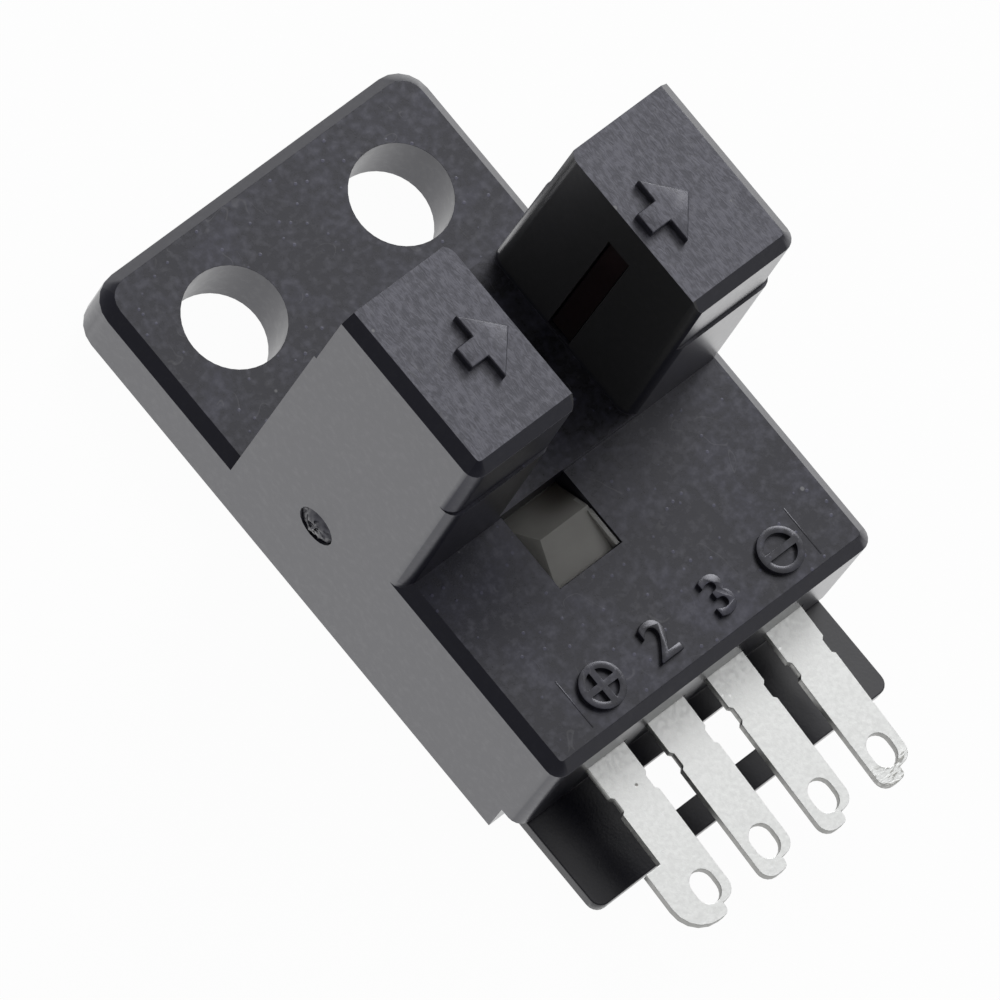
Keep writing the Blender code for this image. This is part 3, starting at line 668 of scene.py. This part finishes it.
def make_tinned_metal():
    """Dull tin: mottled on its faces, grey where the strip was sheared, and torn at the last tip."""
    finish = Finish("tinned_metal")
    cloud = finish.noise(0.16 * MM, detail=4.0)
    grain = finish.noise(0.05 * MM)
    pits = finish.specks(1.6 * MM, 0.09 * MM)
    flecks = finish.specks(0.7 * MM, 0.05 * MM)
    sheared = 1 - finish.ramp(finish.facing("Z"), 0.4, 0.8)
    tear = finish.noise(0.14 * MM, detail=3.0, stretch=(2.5, 1, 1), distortion=1.0)
    last = finish.axis("X") > LAST_TERMINAL_X
    torn = last * finish.ramp(finish.axis("Y"), *TORN_ALONG)

    colour = finish.mix(finish.ramp(cloud, 0.3, 0.7), (0.90, 0.91, 0.90, 1), (0.99, 1.0, 0.99, 1))
    colour = finish.mix(sheared, colour, (0.36, 0.36, 0.35, 1))
    colour = finish.mix(torn * finish.ramp(tear, 0.5, 0.56), colour, (0.5, 0.5, 0.48, 1))
    colour = finish.mix(pits, colour, (0.35, 0.34, 0.32, 1))
    roughness = finish.ramp(cloud, 0.3, 0.7, 0.38, 0.5) - flecks * 0.2
    height = grain * 0.2 + cloud * 0.5 - pits + torn * tear * 1.5
    normal = finish.bump(height, 0.008 * MM)
    return finish.surface(Base_Color=colour, Metallic=1.0, Roughness=roughness, Normal=normal)


def make_board_laminate():
    """Green circuit board, with paler tracks that stand out a little."""
    finish = Finish("board_laminate")
    weave = finish.node(
        "TexWave",
        {"bands_direction": "X"},
        {"Vector": finish.place, "Scale": 1 / (3.0 * MM), "Distortion": 0.6},
    )
    patches = finish.noise(1.5 * MM, detail=1.0)
    tracks = finish.ramp(patches, 0.48, 0.5) * finish.ramp(patches, 0.56, 0.54)
    colour = finish.mix(weave * 0.4, (0.012, 0.10, 0.035, 1), (0.02, 0.15, 0.055, 1))
    colour = finish.mix(tracks, colour, (0.03, 0.22, 0.09, 1))
    return finish.surface(
        Base_Color=colour,
        Roughness=finish.ramp(weave, 0.0, 1.0, 0.3, 0.4),
        Normal=finish.bump(tracks, 0.02 * MM),
    )


def make_optical_resin():
    finish = Finish("optical_resin")
    flow = finish.noise(0.6 * MM)
    colour = finish.mix(flow, (0.10, 0.04, 0.07, 1), (0.15, 0.06, 0.10, 1))
    return finish.surface(Base_Color=colour, Roughness=finish.ramp(flow, 0.3, 0.7, 0.1, 0.2))


def make_chip_finish(node, name, body):
    """A chip part's own colour between its two plated ends."""
    low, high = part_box(node)
    finish = Finish(name)
    ends = (high.y - low.y) * CHIP_END
    along = finish.axis("Y")
    plated = (along < low.y + ends) + (along > high.y - ends)
    mottle = finish.noise(0.2 * MM, detail=3.0)
    colour = finish.mix(mottle, body, tuple(0.75 * part for part in body[:3]) + (1,))
    colour = finish.mix(plated, colour, (0.72, 0.72, 0.70, 1))
    roughness = finish.ramp(mottle, 0.3, 0.7, 0.32, 0.5)
    normal = finish.bump(mottle, 0.01 * MM)
    return finish.surface(Base_Color=colour, Metallic=plated, Roughness=roughness, Normal=normal)


def make_moulded_finish(node, name):
    """Black moulding compound between tinned feet."""
    low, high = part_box(node)
    finish = Finish(name)
    middle = (low.y + high.y) / 2
    half = (high.y - low.y) * MOULDED_HALF
    along = finish.axis("Y")
    feet = (along < middle - half) + (along > middle + half)
    grain = finish.noise(0.06 * MM)
    colour = finish.mix(grain, grey(0.018), grey(0.032))
    colour = finish.mix(feet, colour, (0.7, 0.7, 0.68, 1))
    roughness = finish.ramp(grain, 0.3, 0.7, 0.45, 0.6)
    normal = finish.bump(grain, 0.01 * MM)
    return finish.surface(Base_Color=colour, Metallic=feet, Roughness=roughness, Normal=normal)


# Studio


def make_floor():
    """A wide floor under the lamps' light, almost plain white to the camera and in reflections."""
    bpy.ops.mesh.primitive_circle_add(
        vertices=64, radius=FLOOR_RADIUS, fill_type="NGON", location=(0, 0, 0)
    )
    floor = added("floor")
    finish = Finish("white_floor")
    floor.data.materials.append(finish.material)
    grain = finish.noise(40 * MM)
    colour = finish.mix(grain, (0.8, 0.8, 0.8, 1), (0.82, 0.82, 0.82, 1))
    finish.surface(Base_Color=colour, Roughness=0.9)
    camera, glossy, transmission = (
        finish.node("LightPath", output=f"Is {ray} Ray") for ray in ("Camera", "Glossy", "Transmission")
    )
    white = finish.node("Emission", values={"Color": (1, 1, 1, 1), "Strength": 1.0})
    factor = (camera + glossy + transmission) * FLOOR_GLOW
    lit = Wire(finish, finish.shader.outputs[0])
    mixed = finish.node("MixShader", values={0: factor, 1: lit, 2: white})
    output = finish.tree.nodes["Material Output"]
    finish.tree.links.new(mixed.socket, output.inputs["Surface"])


def placed(azimuth, elevation, roll, distance, target):
    """Where something stands that looks at the target from this direction."""
    turn = (
        Matrix.Rotation(azimuth, 4, "Z")
        @ Matrix.Rotation(math.pi / 2 - elevation, 4, "X")
        @ Matrix.Rotation(roll, 4, "Z")
    )
    back = turn.to_3x3() @ Vector((0, 0, 1))
    return Matrix.Translation(target + back * distance) @ turn


def make_lamp(name, azimuth, elevation, distance, size, watts):
    """A square soft light that faces the object from this direction."""
    lamp = bpy.data.lights.new(name, "AREA")
    lamp.size = size
    lamp.energy = watts
    obj = bpy.data.objects.new(name, lamp)
    bpy.context.scene.collection.objects.link(obj)
    target = Vector((0, 0, 6 * MM))
    obj.matrix_world = placed(math.radians(azimuth), math.radians(elevation), 0, distance, target)


def make_camera():
    data = bpy.data.cameras.new("camera")
    data.lens = CAMERA_LENS
    data.sensor_width = CAMERA_SENSOR
    data.clip_start = 10 * MM
    data.clip_end = 10
    camera = bpy.data.objects.new("camera", data)
    bpy.context.scene.collection.objects.link(camera)
    camera.matrix_world = placed(
        CAMERA_AZIMUTH, CAMERA_ELEVATION, CAMERA_ROLL, CAMERA_DISTANCE, CAMERA_TARGET
    )
    bpy.context.scene.camera = camera


def make_studio():
    scene = bpy.context.scene
    scene.view_settings.view_transform = "Standard"
    world = bpy.data.worlds.new("studio")
    world.use_nodes = True
    world.node_tree.nodes["Background"].inputs["Color"].default_value = SKY
    scene.world = world
    make_floor()
    for name, settings in LAMPS.items():
        make_lamp(name, *settings)
    make_camera()


# The switch


def make_shell(case_plastic, tin):
    """The pieces that show instead of the case, its cover, the light guide and the terminals."""
    case = stand_in("case", "case_shell")
    soften(case, CASE_EDGE, flat_tops=True)
    coat(case, case_plastic)

    cover = stand_in("base_cover", "cover_with_tongue")
    soften(cover, CASE_EDGE)
    coat(cover, make_cover_plastic())

    guide = stand_in("indicator_light_guide", "light_guide")
    across = (GUIDE_SIDE - LIP_WIDTH, GUIDE_SIDE)
    lip = block("lip", across, (GUIDE_FRONT_Y, LIP_BACK), (LIP_BOTTOM, LIP_TOP))
    soften(joined(guide, [lip]), GUIDE_EDGE, angle=GUIDE_SHARP)
    coat(guide, make_light_guide_plastic())

    for node in TERMINALS:
        strip = stand_in(node, node + "_strip")
        split_faces(strip)
        soften(strip, STRIP_EDGE, flat_tops=True)
        coat(strip, tin)


def make_marks(case_plastic):
    """The raised marks, which ride on the case in its own plastic."""
    marks = [make_arrow(name, *places) for name, places in ARROWS.items()]
    marks.append(make_symbol("plus_symbol", PLUS_X, True))
    marks.append(make_symbol("minus_symbol", MINUS_X, False))
    marks += [make_number(f"pin_number_{digit}", digit, x) for digit, x in NUMBERS.items()]
    marks += [make_insert_line(f"insert_line_{side}", x) for side, x in INSERT_LINES.items()]
    marks.append(make_gate_stub())
    for mark in marks:
        coat(mark, case_plastic)
        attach(mark, "root")


def colour_nodes(tin):
    """Gives the CAD nodes that show as they are their own materials."""

    def paint(surface, *nodes):
        for node in nodes:
            coat(frame["nodes"][node], surface)

    paint(make_infrared_plastic(), "emitter_window", "receiver_window")
    paint(make_optical_resin(), "emitter_package", "receiver_package")
    paint(tin, *(node for node in frame["nodes"] if "_lead_" in node))
    paint(make_board_laminate(), "circuit_board")
    for node in ("led_resistor", "base_resistor", "indicator_resistor", "pull_up_resistor"):
        paint(make_chip_finish(node, node + "_finish", RESISTOR_BODY), node)
    paint(make_chip_finish("bypass_capacitor", "capacitor_finish", CAPACITOR_BODY), "bypass_capacitor")
    paint(make_chip_finish("indicator_led", "led_finish", LED_BODY), "indicator_led")
    for node in ("output_transistor", "protection_diode"):
        paint(make_moulded_finish(node, node + "_finish"), node)


def main():
    case_plastic = make_case_plastic()
    tin = make_tinned_metal()
    make_shell(case_plastic, tin)
    make_marks(case_plastic)
    colour_nodes(tin)
    make_studio()


main()
